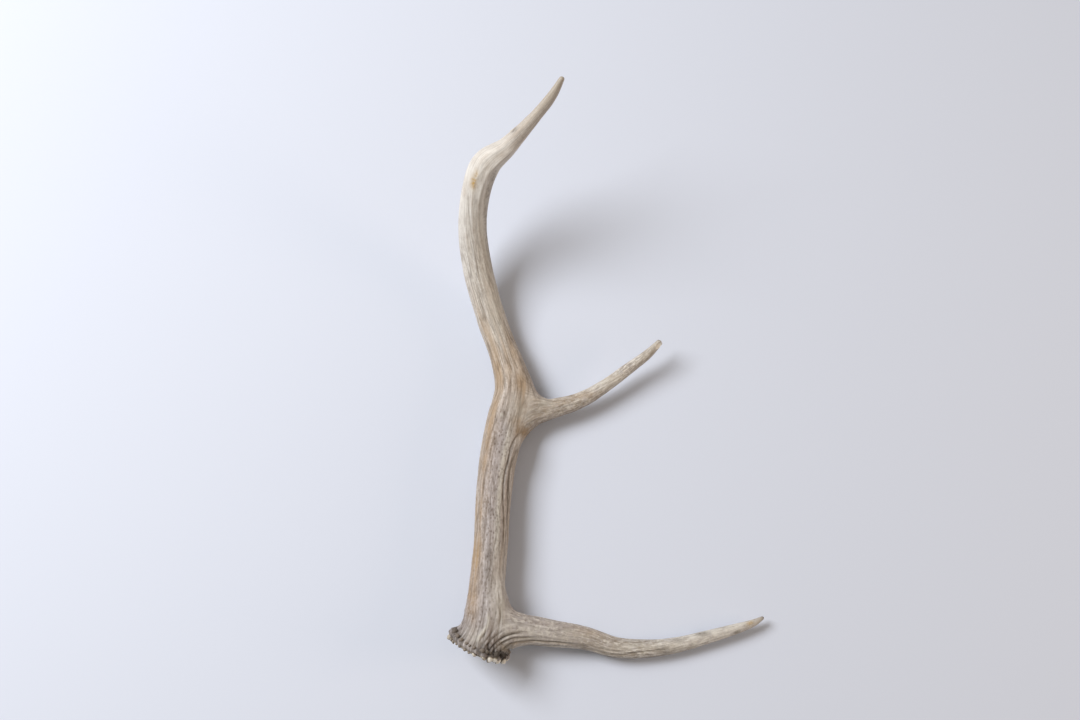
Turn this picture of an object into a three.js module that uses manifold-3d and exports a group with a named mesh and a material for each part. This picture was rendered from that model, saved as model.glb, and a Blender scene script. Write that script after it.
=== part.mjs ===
// A shed deer antler with three points, lying on its convex back.
//
// Frame: millimetres, +Z up off the surface it lies on, +Y from the burr towards the top of the beam,
// +X towards the side that both tines grow on. The origin is on the surface, under the middle of the
// antler's outline.
//
// The antler is one bone that branches twice. Every limb is skinned over a line of stations, fused with
// the others, given the beads of the burr, and then parted at its two main forks:
//   lower_beam   burr, cast face, trunk and the body of the upper fork
//   brow_tine    the long first point, which leaves just above the burr
//   middle_tine  the second point, with a broken end
//   upper_beam   the rest of the beam, which curls up to the third point

import * as THREE from "three";
import { mergeVertices } from "three/addons/utils/BufferGeometryUtils.js";
import Module from "manifold-3d";

const wasm = await Module();
wasm.setup();

const { lerp, smoothstep, seededRandom, degToRad } = THREE.MathUtils;
const UP = new THREE.Vector3(0, 0, 1);

// ---------------------------------------------------------------- driving dimensions

const BURR_CENTRE = new THREE.Vector3(-119.7, -242.8, 26); // middle of the burr, in the part's frame
const BURR_AXIS = new THREE.Vector3(0.37, 0.86, 0.35).normalize(); // from the cast face into the beam
const BURR_RADIUS = [29, 27.8]; // rim of the burr without its beads: across the fork plane and through it
const BURR_TURN = 46; // over this length the rings swing from the burr's plane to square on the beam
const BEAD_COUNT = 24; // beads round the rim
const BEAD_SIZE = 3.8; // mean radius of a bead
const FORK_GAP = 0.3; // clearance between neighbouring pieces at a fork
const BONE_COLOUR = 0xb9ab98;

// Stations of each limb, from its root to its tip, measured from the middle of the burr:
// [x, y, z, half width across the fork plane, half thickness off the surface]
const BEAM = [
  [0, 0, 0, 21.5, 20],
  [4.5, 27, -1, 20, 19],
  [5.5, 52, -3, 17, 16.5],
  [9, 95, -5, 16.3, 16],
  [11, 138, -6.5, 16.8, 16],
  [15, 177, -7.5, 17.8, 16.5],
  [22, 212, -8.5, 19, 16.8],
  [28.5, 247, -9.3, 17.2, 16],
  [22, 278, -11.3, 14.7, 14.7],
  [8, 318, -10, 14.3, 14.3],
  [-5.5, 364, 6, 14.5, 14.3],
  [-10.2, 399, 32, 13.9, 13.6],
  [-6, 426, 59, 14, 13.6],
  [4, 445, 81, 14.2, 13.2],
  [24, 456, 97, 9.5, 9],
  [48, 473, 120, 6, 6],
  [66, 488, 139, 4.6, 4.6],
  [76.5, 500, 155.5, 2.4, 2.4],
];
const BROW_TINE = [
  [5, -1, -2, 11, 11],
  [23, 14, -4, 18, 16],
  [44, 15, -7, 14.2, 13.5],
  [70, 12, -10, 12.3, 12],
  [98, 8, -13, 10.8, 10.5],
  [126, 0, -16.2, 9.7, 9.7],
  [154, -1, -17.8, 8.6, 8.6],
  [182, 2, -18.5, 7.3, 7.3],
  [210, 9, -18, 6.3, 6.3],
  [239, 17, -17.5, 5, 5],
  [257, 23, -17, 3.2, 3.2],
  [266, 28, -16.5, 1.3, 1.3],
];
const MIDDLE_TINE = [
  [17, 185, -11, 12.5, 12],
  [28.5, 207.8, -11, 14.6, 13],
  [46.5, 222.6, -10, 13.4, 11],
  [67, 227.8, -10, 9.8, 9],
  [94.2, 236.2, -10, 7.9, 7.4],
  [119, 250.5, -8, 6.4, 6.4],
  [143, 268, -5, 5.6, 5.6],
  [160, 280.3, -2, 4.6, 4.6],
  [173.6, 293.2, 1.3, 3, 3],
];

// Webs that round out the inside corners of the forks, told in the same way.
const WEBS = [
  [
    [12, 64, -4, 8, 13],
    [17, 42, -3.5, 9, 15],
    [22, 29, -4, 9.5, 15],
    [33, 20.5, -5.5, 9.5, 14],
    [52, 16, -8, 10, 12],
  ],
  [
    [30, 284, -11.5, 6, 12],
    [37, 256, -10, 10, 14.5],
    [44.5, 237.5, -10, 10, 13.5],
    [58, 229, -10, 8.8, 11],
    [80, 231.5, -10, 6, 7],
  ],
];

// The root of the beam: [height along the burr's axis, share of BURR_RADIUS], from the domed cast face
// over the rim to the waist, above which the stations take over.
const ROOT_PROFILE = [
  [-5, 0.36],
  [-3.5, 0.68],
  [-2, 0.9],
  [1, 1],
  [4, 0.99],
  [7.5, 0.86],
  [11.5, 0.78],
];
const CAST_FACE_DEPTH = 5.5; // how far the middle of the cast face stands out below the burr

// Deep furrows: [angle round the limb, first and last distance along it, depth]. The angle starts at the
// limb's right as one looks along it with the fork plane level, and turns upwards.
const BEAM_FURROWS = [
  [22, 80, 250, 1.3],
  [46, 95, 225, 1.0],
  [150, 20, 150, 0.7],
];
const BROW_FURROWS = [
  [24, 5, 150, 1.2],
  [58, 5, 95, 1.0],
  [118, 10, 120, 0.6],
];
const MIDDLE_FURROWS = [[60, 20, 120, 0.8]];

// Knots raised on the surface, and chips and pits cut into it: [x, y, z, radius]
const KNOTS = [
  [19.5, 219, 6.5, 2.6],
  [146, -1, -10, 2.4],
  [173, 292.2, 2.8, 2.2],
];
const SCARS = [
  [29.8, 468.6, 109, 3.2],
  [172.6, 286.4, 5.4, 5],
  [-7, -7, -1, 3.2],
  [5, -8, -7, 2.8],
];

// ---------------------------------------------------------------- limbs

// The middle line of a limb and its half sizes, read at a distance from its first station.
function makeLimb(stations, rootNormal = null) {
  const line = new THREE.CatmullRomCurve3(stations.map(([x, y, z]) => new THREE.Vector3(x, y, z)));
  const sizes = new THREE.CatmullRomCurve3(
    stations.map(([, , , across, thick], i) => new THREE.Vector3(across, thick, i * 30)),
  );
  const length = line.getLength();
  const ringAt = (distance) => {
    const t = line.getUtoTmapping(Math.min(Math.max(distance / length, 0), 1));
    const forward = line.getTangent(t);
    if (rootNormal) forward.lerp(rootNormal, 1 - smoothstep(distance, 0, BURR_TURN)).normalize();
    const side = new THREE.Vector3().crossVectors(forward, UP).normalize();
    const top = new THREE.Vector3().crossVectors(side, forward);
    const centre = line.getPoint(t).addScaledVector(forward, Math.min(distance, 0));
    const { x, y } = sizes.getPoint(t);
    return { centre, forward, side, top, size: [x, y] };
  };
  return { length, ringAt };
}

// A closed skin over a limb. rings: { distance, size? }; relief(distance, angle) lifts the surface.
function skin(limb, rings, sides, relief, rootCap, tipCap) {
  const points = [];
  for (const { distance, size: ownSize } of rings) {
    const { centre, side, top, size } = limb.ringAt(distance);
    const [across, thick] = ownSize ?? size;
    for (let j = 0; j < sides; j++) {
      const angle = (2 * Math.PI * j) / sides;
      const lift = relief(distance, angle);
      const point = centre.clone().addScaledVector(side, (across + lift) * Math.cos(angle));
      points.push(point.addScaledVector(top, (thick + lift) * Math.sin(angle)));
    }
  }
  const first = limb.ringAt(rings[0].distance);
  const last = limb.ringAt(rings.at(-1).distance);
  const rootPoint = points.push(first.centre.clone().addScaledVector(first.forward, -rootCap)) - 1;
  const tipPoint = points.push(last.centre.clone().addScaledVector(last.forward, tipCap)) - 1;
  const index = [];
  const lastRow = (rings.length - 1) * sides;
  for (let j = 0; j < sides; j++) {
    const next = (j + 1) % sides;
    index.push(rootPoint, j, next, tipPoint, lastRow + next, lastRow + j);
    for (let row = 0; row < lastRow; row += sides) {
      index.push(row + j, row + sides + j, row + next);
      index.push(row + sides + j, row + sides + next, row + next);
    }
  }
  return new THREE.BufferGeometry().setFromPoints(points).setIndex(index);
}

// Rings from one distance to another, closer together towards the far end by the given share.
function ringsBetween(from, to, count, crowding = 0) {
  return Array.from({ length: count }, (_, i) => {
    const u = i / (count - 1);
    return { distance: lerp(from, to, u + crowding * u * (1 - u)) };
  });
}

// Long ridges that wander slowly round the limb, with deep furrows between some of them. The ridges
// stand 0.45 mm high up to the first distance of the fade and are nearly gone at the second.
function ridged(ridges, wander, fade, furrows) {
  return (distance, angle) => {
    const height = lerp(0.45, 0.1, smoothstep(distance, ...fade));
    let lift = height * Math.cos(ridges * angle + wander * Math.sin(distance / 80));
    lift += 0.5 * height * Math.cos(3 * angle - distance / 34);
    for (const [at, from, to, depth] of furrows) {
      const along = smoothstep(distance, from, from + 30) * (1 - smoothstep(distance, to - 40, to));
      lift -= depth * along * Math.exp(-(((angle - degToRad(at)) / 0.13) ** 2));
    }
    return lift;
  };
}

// ---------------------------------------------------------------- solids

function solid(geometry) {
  const bare = new THREE.BufferGeometry();
  bare.setAttribute("position", geometry.getAttribute("position"));
  bare.setIndex(geometry.index);
  const merged = mergeVertices(bare, 1e-4);
  return new wasm.Manifold(
    new wasm.Mesh({
      numProp: 3,
      vertProperties: new Float32Array(merged.getAttribute("position").array),
      triVerts: new Uint32Array(merged.index.array),
    }),
  );
}

// A squashed ball: half sizes along its own axes, turned into a basis, and placed.
function lump(sizes, basis, place) {
  const ball = new THREE.OctahedronGeometry(1, 1).scale(...sizes);
  return solid(ball.applyMatrix4(new THREE.Matrix4().makeBasis(...basis).setPosition(...place)));
}

// Everything ahead of a ring of a limb, inside a box of the given reach and width.
function ahead(limb, distance, reach, width) {
  const { centre, forward, side, top } = limb.ringAt(distance);
  const box = new THREE.BoxGeometry(width, width, reach).translate(0, 0, reach / 2);
  const frame = new THREE.Matrix4().makeBasis(side, top.clone().negate(), forward);
  return solid(box.applyMatrix4(frame.setPosition(centre)));
}

// ---------------------------------------------------------------- the fused antler

const beam = makeLimb(BEAM, BURR_AXIS);
const brow = makeLimb(BROW_TINE);
const middle = makeLimb(MIDDLE_TINE);

const beamRidges = ridged(9, 1.6, [250, 560], BEAM_FURROWS);
const castFace = (distance, angle) => 0.7 * Math.sin(5 * angle + distance) * Math.cos(2 * angle);
const beamRelief = (distance, angle) =>
  distance < 4 ? castFace(distance, angle) : smoothstep(distance, 4, 30) * beamRidges(distance, angle);
const beamRings = ROOT_PROFILE.map(([distance, share]) => ({
  distance,
  size: BURR_RADIUS.map((radius) => share * radius),
})).concat(ringsBetween(18, beam.length, 53, 0.15));
const castFaceCap = CAST_FACE_DEPTH + ROOT_PROFILE[0][0];

let antler = solid(skin(beam, beamRings, 36, beamRelief, castFaceCap, 1.4));
const fuse = (geometry) => (antler = antler.add(solid(geometry)));

const browRelief = ridged(6, 1.2, [90, 220], BROW_FURROWS);
const middleRelief = ridged(5, 1, [60, 150], MIDDLE_FURROWS);
fuse(skin(brow, ringsBetween(0, brow.length, 30, 0.2), 24, browRelief, 0, 1));
fuse(skin(middle, ringsBetween(0, middle.length, 18), 20, middleRelief, 0, 0.8));
for (const stations of WEBS) {
  const web = makeLimb(stations);
  fuse(skin(web, ringsBetween(0, web.length, 9), 14, () => 0, 0, 0));
}

// Beads of the burr: uneven, pressed together along the rim, some drawn out along the beam.
seededRandom(11);
const burr = beam.ringAt(0);
for (let i = 0; i < BEAD_COUNT; i++) {
  const angle = (2 * Math.PI * (i + 0.35 * seededRandom())) / BEAD_COUNT;
  const size = BEAD_SIZE * (0.8 + 0.4 * seededRandom());
  const [across, thick] = BURR_RADIUS.map((radius) => radius - 0.3 * size);
  const outward = burr.side
    .clone()
    .multiplyScalar(across * Math.cos(angle))
    .addScaledVector(burr.top, thick * Math.sin(angle));
  const place = burr.centre
    .clone()
    .add(outward)
    .addScaledVector(burr.forward, 1 + 2.5 * seededRandom());
  outward.normalize();
  const around = new THREE.Vector3().crossVectors(burr.forward, outward);
  const sizes = [0.8 * size, size, size * (0.9 + 0.4 * seededRandom())];
  antler = antler.add(lump(sizes, [outward, around, burr.forward], place));
}
const LEVEL = [new THREE.Vector3(1, 0, 0), new THREE.Vector3(0, 1, 0), UP];
for (const [x, y, z, radius] of KNOTS)
  antler = antler.add(lump([radius, 1.4 * radius, radius], LEVEL, [x, y, z]));
for (const [x, y, z, radius] of SCARS)
  antler = antler.subtract(lump([radius, radius, radius], LEVEL, [x, y, z]));

// The back is worn flat where the antler rests: under the burr, the upper fork and the brow tine.
const surface = new THREE.BoxGeometry(2000, 2000, 100).translate(0, 0, -50 - BURR_CENTRE.z);
antler = antler.subtract(solid(surface));

// ---------------------------------------------------------------- the pieces between the forks

// Each piece starts at a ring of its limb and takes all that lies ahead of it within reach.
const FORKS = {
  brow_tine: [brow, 43, 260, 110],
  middle_tine: [middle, 60, 180, 110],
  upper_beam: [beam, 262, 500, 700],
};

const part = new THREE.Group();
part.name = "antler";

function addPiece(name, body) {
  const mesh = body.getMesh();
  const geometry = new THREE.BufferGeometry();
  geometry.setAttribute("position", new THREE.BufferAttribute(mesh.vertProperties, 3));
  geometry.setIndex(new THREE.BufferAttribute(mesh.triVerts, 1));
  geometry.translate(...BURR_CENTRE);
  geometry.computeVertexNormals();
  const bone = new THREE.MeshStandardMaterial({ color: BONE_COLOUR, roughness: 0.7, metalness: 0 });
  bone.name = "antler_bone";
  const piece = new THREE.Mesh(geometry, bone);
  piece.name = name;
  part.add(piece);
}

let rest = antler;
for (const [name, [limb, distance, reach, width]] of Object.entries(FORKS)) {
  addPiece(name, rest.intersect(ahead(limb, distance + FORK_GAP / 2, reach, width)));
  rest = rest.subtract(ahead(limb, distance - FORK_GAP / 2, reach, width));
}
addPiece("lower_beam", rest);

export default part;
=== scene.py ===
# %% [markdown]
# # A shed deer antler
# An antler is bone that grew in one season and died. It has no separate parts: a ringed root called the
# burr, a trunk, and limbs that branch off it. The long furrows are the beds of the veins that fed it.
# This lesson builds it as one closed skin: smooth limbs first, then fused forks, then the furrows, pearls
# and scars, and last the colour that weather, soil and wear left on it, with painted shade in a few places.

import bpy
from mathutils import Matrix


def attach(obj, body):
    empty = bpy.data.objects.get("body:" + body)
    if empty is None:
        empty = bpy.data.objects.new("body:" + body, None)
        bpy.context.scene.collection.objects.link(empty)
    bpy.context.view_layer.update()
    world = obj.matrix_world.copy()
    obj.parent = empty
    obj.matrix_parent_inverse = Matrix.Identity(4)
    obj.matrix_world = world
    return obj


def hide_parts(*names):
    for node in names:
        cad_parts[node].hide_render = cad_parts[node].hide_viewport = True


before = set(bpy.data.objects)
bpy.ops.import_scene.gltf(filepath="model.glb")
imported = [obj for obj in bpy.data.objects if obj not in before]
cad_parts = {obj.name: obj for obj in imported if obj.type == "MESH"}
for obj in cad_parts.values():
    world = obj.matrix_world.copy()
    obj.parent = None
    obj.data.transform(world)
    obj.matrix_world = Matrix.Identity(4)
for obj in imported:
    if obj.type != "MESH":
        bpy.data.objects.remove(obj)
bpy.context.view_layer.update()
NODES = sorted(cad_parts)

# %% Units and small helpers
import math

import bmesh
import bpy
import numpy as np
from mathutils import Vector
from mathutils.bvhtree import BVHTree

MM = 0.001
TAU = 2 * math.pi
UP = np.array([0.0, 0.0, 1.0])


def smooth(x, low, high):
    """0 below low, 1 above high, and an even S-curve between them."""
    t = np.clip((np.asarray(x, float) - low) / (high - low), 0, 1)
    return t * t * (3 - 2 * t)


def fade(x, low, high):
    """1 below low, 0 above high."""
    return 1 - smooth(x, low, high)


def unit(v):
    return v / np.maximum(np.linalg.norm(v, axis=-1, keepdims=True), 1e-12)


# %% [markdown]
# ## Camera, floor and light
# The antler lies on its convex back, and the eye looks down on it at a slight slant. A long lens keeps the
# limbs in proportion. One big soft lamp high on the upper left rakes across the trunk, which shows the
# furrows and leaves the far flanks brown. A small warm lamp low on the right stands for light thrown back
# by a room, and the pale sky fills the shade.

# %% Camera
def add_object(name, data):
    made = bpy.data.objects.new(name, data)
    bpy.context.scene.collection.objects.link(made)
    return made


CAMERA_PLACE = (-0.0642, -0.3538, 1.4346)
CAMERA_TILT = math.radians(15.3)  # off straight down

lens = bpy.data.cameras.new("camera")
lens.lens, lens.sensor_width = 50, 36
lens.clip_start, lens.clip_end = 0.05, 20
camera = add_object("camera", lens)
camera.location, camera.rotation_euler = CAMERA_PLACE, (CAMERA_TILT, 0, 0)
bpy.context.scene.camera = camera
bpy.context.scene.view_settings.view_transform = "Standard"


# %% Colours and nodes
def colour(code):
    """An sRGB hex colour, such as "#b9ab98", as the linear RGBA that shaders use."""
    parts = [int(code[i : i + 2], 16) / 255 for i in (1, 3, 5)]
    return tuple(c / 12.92 if c <= 0.04045 else ((c + 0.055) / 1.055) ** 2.4 for c in parts) + (1.0,)


def add_node(tree, kind, inputs=None, **settings):
    """Adds a node. settings are its properties; inputs maps a socket's name or number to a value, or to
    the node or socket that feeds it."""
    node = tree.nodes.new(kind)
    for name, value in settings.items():
        setattr(node, name, value)
    for key, value in (inputs or {}).items():
        socket = node.inputs[key]
        if isinstance(value, bpy.types.Node):
            value = next(out for out in value.outputs if out.enabled)
        if isinstance(value, bpy.types.NodeSocket):
            tree.links.new(value, socket)
        else:
            socket.default_value = value
    return node


def new_material(name):
    material = bpy.data.materials.new(name)
    material.use_nodes = True
    material.node_tree.nodes.clear()
    return material


# %% Floor, sky and lamps
FLOOR_COLOUR, FLOOR_REACH, FLOOR_DROP = "#d9e0ee", 4.0, 0.0003
WINDOW_FROM, WINDOW_SIZE, WINDOW_POWER, WINDOW_TINT = (-1.78, 0.76, 1.95), 1.3, 73, "#fbfbfc"
BOUNCE_FROM, BOUNCE_SIZE, BOUNCE_POWER, BOUNCE_TINT = (1.95, -0.3, 0.62), 0.7, 9.0, "#ffe2c6"
SKY_POWER, SKY_TINT = 0.34, "#f5e9dc"

painted = new_material("matt_painted_board")
paint = {"Base Color": colour(FLOOR_COLOUR), "Roughness": 0.9}
shader = add_node(painted.node_tree, "ShaderNodeBsdfPrincipled", paint)
add_node(painted.node_tree, "ShaderNodeOutputMaterial", {"Surface": shader})

plane = bpy.data.meshes.new("floor")
corners = [(x * FLOOR_REACH, y * FLOOR_REACH, 0) for x, y in ((-1, -1), (1, -1), (1, 1), (-1, 1))]
plane.from_pydata(corners, [], [(0, 1, 2, 3)])
plane.materials.append(painted)
floor = add_object("floor", plane)
floor.location.z = -FLOOR_DROP

world = bpy.data.worlds.new("sky")
world.use_nodes = True
world.node_tree.nodes.clear()
sky = add_node(world.node_tree, "ShaderNodeBackground", {"Color": colour(SKY_TINT), "Strength": SKY_POWER})
add_node(world.node_tree, "ShaderNodeOutputWorld", {"Surface": sky})
bpy.context.scene.world = world


def add_lamp(name, place, size, power, tint):
    """A square soft lamp that faces the origin."""
    data = bpy.data.lights.new(name, "AREA")
    data.shape, data.size, data.energy, data.color = "SQUARE", size, power, colour(tint)[:3]
    lamp = add_object(name, data)
    lamp.location = place
    lamp.rotation_euler = Vector(place).to_track_quat("Z", "Y").to_euler()


add_lamp("window", WINDOW_FROM, WINDOW_SIZE, WINDOW_POWER, WINDOW_TINT)
add_lamp("bounce", BOUNCE_FROM, BOUNCE_SIZE, BOUNCE_POWER, BOUNCE_TINT)
print("camera at", tuple(camera.location), "window lamp", WINDOW_POWER, "W")

# %% [markdown]
# ## The limbs
# A limb is a soft oval that travels along a bent line and shrinks as it goes. Its shape is told by a few
# stations: where its middle is and how wide and thick it is there. A spline runs through them, the same
# centripetal Catmull-Rom curve as in the solid model, so both have one outline. All stations are in
# millimetres from the middle of the burr.

# %% Stations: [x, y, z, half width across the fork plane, half thickness off the surface]
BURR_CENTRE = np.array([-119.7, -242.8, 26.0])
BURR_AXIS = unit(np.array([0.37, 0.86, 0.35]))
BURR_RADIUS = np.array([29.0, 27.8])
BURR_TURN = 46
CAST_FACE_DEPTH = 5.5

BEAM = [
    [0, 0, 0, 21.5, 20],
    [4.5, 27, -1, 20, 19],
    [5.5, 52, -3, 17, 16.5],
    [9, 95, -5, 16.3, 16],
    [11, 138, -6.5, 16.8, 16],
    [15, 177, -7.5, 17.8, 16.5],
    [22, 212, -8.5, 19, 16.8],
    [28.5, 247, -9.3, 17.2, 16],
    [22, 278, -11.3, 14.7, 14.7],
    [8, 318, -10, 14.3, 14.3],
    [-5.5, 364, 6, 14.5, 14.3],
    [-10.2, 399, 32, 13.9, 13.6],
    [-6, 426, 59, 14, 13.6],
    [4, 445, 81, 14.2, 13.2],
    [24, 456, 97, 9.5, 9],
    [48, 473, 120, 6, 6],
    [66, 488, 139, 4.6, 4.6],
    [76.5, 500, 155.5, 2.4, 2.4],
]
BROW_TINE = [
    [5, -1, -2, 11, 11],
    [23, 14, -4, 18, 16],
    [44, 15, -7, 14.2, 13.5],
    [70, 12, -10, 12.3, 12],
    [98, 8, -13, 10.8, 10.5],
    [126, 0, -16.2, 9.7, 9.7],
    [154, -1, -17.8, 8.6, 8.6],
    [182, 2, -18.5, 7.3, 7.3],
    [210, 9, -18, 6.3, 6.3],
    [239, 17, -17.5, 5, 5],
    [257, 23, -17, 3.2, 3.2],
    [266, 28, -16.5, 1.3, 1.3],
]
MIDDLE_TINE = [
    [17, 185, -11, 12.5, 12],
    [28.5, 207.8, -11, 14.6, 13],
    [46.5, 222.6, -10, 13.4, 11],
    [67, 227.8, -10, 9.8, 9],
    [94.2, 236.2, -10, 7.9, 7.4],
    [119, 250.5, -8, 6.4, 6.4],
    [143, 268, -5, 5.6, 5.6],
    [160, 280.3, -2, 4.6, 4.6],
    [173.6, 293.2, 1.3, 3, 3],
]
WEBS = [
    [
        [12, 64, -4, 8, 13],
        [17, 42, -3.5, 9, 15],
        [22, 29, -4, 9.5, 15],
        [33, 20.5, -5.5, 9.5, 14],
        [52, 16, -8, 10, 12],
    ],
    [
        [30, 284, -11.5, 6, 12],
        [37, 256, -10, 10, 14.5],
        [44.5, 237.5, -10, 10, 13.5],
        [58, 229, -10, 8.8, 11],
        [80, 231.5, -10, 6, 7],
    ],
]


# %% The line of a limb
def spline(points, t):
    """Points of a centripetal Catmull-Rom curve through the given ones, for t from 0 to 1."""
    ends = [2 * points[0] - points[1]], [2 * points[-1] - points[-2]]
    padded = np.vstack([ends[0], points, ends[1]])
    u = np.clip(t, 0, 1) * (len(points) - 1)
    first = np.minimum(u.astype(int), len(points) - 2)
    u = (u - first)[:, None]
    p = [padded[first + k] for k in range(4)]
    gap = [np.sqrt(np.linalg.norm(p[k + 1] - p[k], axis=1))[:, None] for k in range(3)]
    step = (p[2] - p[1]) / gap[1]
    leave = gap[1] * ((p[1] - p[0]) / gap[0] - (p[2] - p[0]) / (gap[0] + gap[1]) + step)
    arrive = gap[1] * (step - (p[3] - p[1]) / (gap[1] + gap[2]) + (p[3] - p[2]) / gap[2])
    bend = -3 * p[1] + 3 * p[2] - 2 * leave - arrive
    twist = 2 * p[1] - 2 * p[2] + leave + arrive
    return p[1] + leave * u + bend * u**2 + twist * u**3


class Limb:
    """The middle line of a limb, its rings' directions and its half sizes, read at distances along it."""

    def __init__(self, stations, root_normal=None):
        stations = np.array(stations, float)
        t = np.linspace(0, 1, 3000)
        self.centres = spline(stations[:, :3], t)
        # the third column spaces the stations evenly, so that equal sizes do not divide by zero
        marks = np.column_stack([stations[:, 3:], 30.0 * np.arange(len(stations))])
        self.sizes = spline(marks, t)[:, :2]
        steps = np.linalg.norm(np.diff(self.centres, axis=0), axis=1)
        self.distances = np.concatenate([[0], np.cumsum(steps)])
        self.length = self.distances[-1]
        self.forwards = np.gradient(self.centres, self.distances, axis=0)
        self.root_normal = root_normal

    def read(self, table, distance):
        return np.stack([np.interp(distance, self.distances, column) for column in table.T], -1)

    def at(self, distance):
        distance = np.atleast_1d(np.asarray(distance, float))
        forward = unit(self.read(self.forwards, distance))
        if self.root_normal is not None:
            turned = smooth(distance, 0, BURR_TURN)[:, None]
            forward = unit(forward * turned + self.root_normal * (1 - turned))
        side = unit(np.cross(forward, UP))
        top = np.cross(side, forward)
        centre = self.read(self.centres, distance) + forward * np.minimum(distance, 0)[:, None]
        return centre, forward, side, top, self.read(self.sizes, distance)


beam = Limb(BEAM, BURR_AXIS)
brow = Limb(BROW_TINE)
middle = Limb(MIDDLE_TINE)
webs = [Limb(stations) for stations in WEBS]
print("limb lengths in mm:", [round(limb.length) for limb in (beam, brow, middle)])

# %% [markdown]
# ## The skins
# A ring of points every millimetre or two is enough along the limb, but the furrows are narrow, so each
# ring has many points. Rings crowd together near the burr, where pearls have to show. The root of the
# beam is a profile of its own: the domed cast face, where the antler broke off the skull, the rim of the
# burr, and the waist above it.

# %% Rings and skins
BEAM_SIDES, BROW_SIDES, MIDDLE_SIDES, WEB_SIDES = 168, 100, 76, 60
ROOT_RINGS, WEB_RINGS, TIP_RINGS = 66, 40, 9
FINE_STEP, MEDIUM_STEP, COARSE_STEP = 1.3, 1.6, 1.9  # mm from ring to ring
TIP_DOME = 4  # mm of every tip that get the close rings
ROOT_PROFILE = [  # [distance along the burr's axis, share of BURR_RADIUS]
    [-CAST_FACE_DEPTH, 0.02],
    [-5, 0.36],
    [-3.5, 0.68],
    [-2, 0.9],
    [1, 1],
    [4, 0.99],
    [7.5, 0.86],
    [11.5, 0.78],
]


def stretch_of(start, end, step):
    """Distances from start towards end, evenly about one step apart."""
    return np.linspace(start, end, max(2, round((end - start) / step)), endpoint=False)


def skin(limb, distances, sides, sizes=None, blunt=1.0, tip_cap=0.1, root_cap=0.5):
    """Points and faces of a closed skin over a limb. Its tip is a dome, blunt times as long as wide, and
    the caps say how far the two end points stand out from the first and the last ring."""
    centre, forward, side, top, own = limb.at(distances)
    sizes = own if sizes is None else sizes
    dome = blunt * own[-1].mean()
    left = np.clip((limb.length - distances) / dome, 0, 1)
    sizes = sizes * np.sqrt(1 - (1 - left) ** 2 * 0.99)[:, None]
    angle = np.arange(sides) * TAU / sides
    across = (sizes[:, :1] * np.cos(angle))[..., None] * side[:, None]
    thick = (sizes[:, 1:] * np.sin(angle))[..., None] * top[:, None]
    rings = centre[:, None] + across + thick
    ends = [centre[0] - root_cap * forward[0], centre[-1] + tip_cap * forward[-1]]
    points = np.vstack([rings.reshape(-1, 3), ends])
    rows, cols = np.meshgrid(np.arange(len(distances) - 1), np.arange(sides), indexing="ij")
    here, beside = rows * sides + cols, rows * sides + (cols + 1) % sides
    quads = np.stack([here, here + sides, beside + sides, beside], -1).reshape(-1, 4).tolist()
    root, tip = len(points) - 2, len(points) - 1
    last = (len(distances) - 1) * sides
    fans = [[root, j, (j + 1) % sides] for j in range(sides)]
    fans += [[tip, last + (j + 1) % sides, last + j] for j in range(sides)]
    return points, quads + fans


def make_object(name, points, faces):
    mesh = bpy.data.meshes.new(name)
    mesh.from_pydata(points, [], faces)
    return add_object(name, mesh)


def with_tip(limb, *stretches):
    """Ring distances over the given stretches, then close rings for the dome at the tip."""
    tip = limb.length - TIP_DOME * np.cos(np.linspace(0, 1, TIP_RINGS) * math.pi / 2)
    return np.concatenate([*stretches, tip])


profile = np.array([[at, *(share * BURR_RADIUS)] for at, share in ROOT_PROFILE])
above = np.array([18.0, 24.0])  # here the root passes over into the beam
profile = np.vstack([profile, np.column_stack([above, beam.at(above)[4]])])
root_rings = spline(profile, np.linspace(0, 1 - 1 / (len(profile) - 1), ROOT_RINGS, endpoint=False))

limb_rings = with_tip(
    beam,
    stretch_of(above[0], 262, FINE_STEP),
    stretch_of(262, 470, 2.1),
    stretch_of(470, beam.length - TIP_DOME, COARSE_STEP),
)
brow_rings = with_tip(
    brow, stretch_of(0, 120, FINE_STEP), stretch_of(120, brow.length - TIP_DOME, COARSE_STEP)
)
middle_rings = with_tip(middle, stretch_of(0, middle.length - TIP_DOME, MEDIUM_STEP))
beam_rings = np.concatenate([root_rings[:, 0], limb_rings])
beam_sizes = np.vstack([root_rings[:, 1:], beam.at(limb_rings)[4]])

antler = make_object("antler", *skin(beam, beam_rings, BEAM_SIDES, beam_sizes, root_cap=0.0))
branches = [
    make_object("brow", *skin(brow, brow_rings, BROW_SIDES)),
    make_object("middle", *skin(middle, middle_rings, MIDDLE_SIDES, blunt=0.6)),
]
for web in webs:
    branches.append(make_object("web", *skin(web, np.linspace(0, web.length, WEB_RINGS), WEB_SIDES)))
print("beam rings", len(beam_rings), "faces", len(antler.data.polygons))


# %% [markdown]
# ## One bone
# A boolean union makes one closed skin of the overlapping limbs, but it leaves a sharp crease where two
# of them meet, and bone never has one. So the forks are filled: each point near a fork is drawn towards
# the mean of its neighbours, but only outwards. Creases fill up to a smooth saddle, and round limbs keep
# their thickness.

# %% Fuse the limbs
MERGE_GAP = 0.12  # mm


def keep_result(target):
    """Turns what an object's modifiers make into its own mesh, and removes the modifiers."""
    depsgraph = bpy.context.evaluated_depsgraph_get()
    result = bpy.data.meshes.new_from_object(target.evaluated_get(depsgraph))
    target.modifiers.clear()
    target.data = result


def fuse(target, others):
    for other in others:
        union = target.modifiers.new("union", "BOOLEAN")
        union.operation, union.solver, union.object = "UNION", "MANIFOLD", other
    keep_result(target)
    for other in others:
        bpy.data.objects.remove(other)


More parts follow.
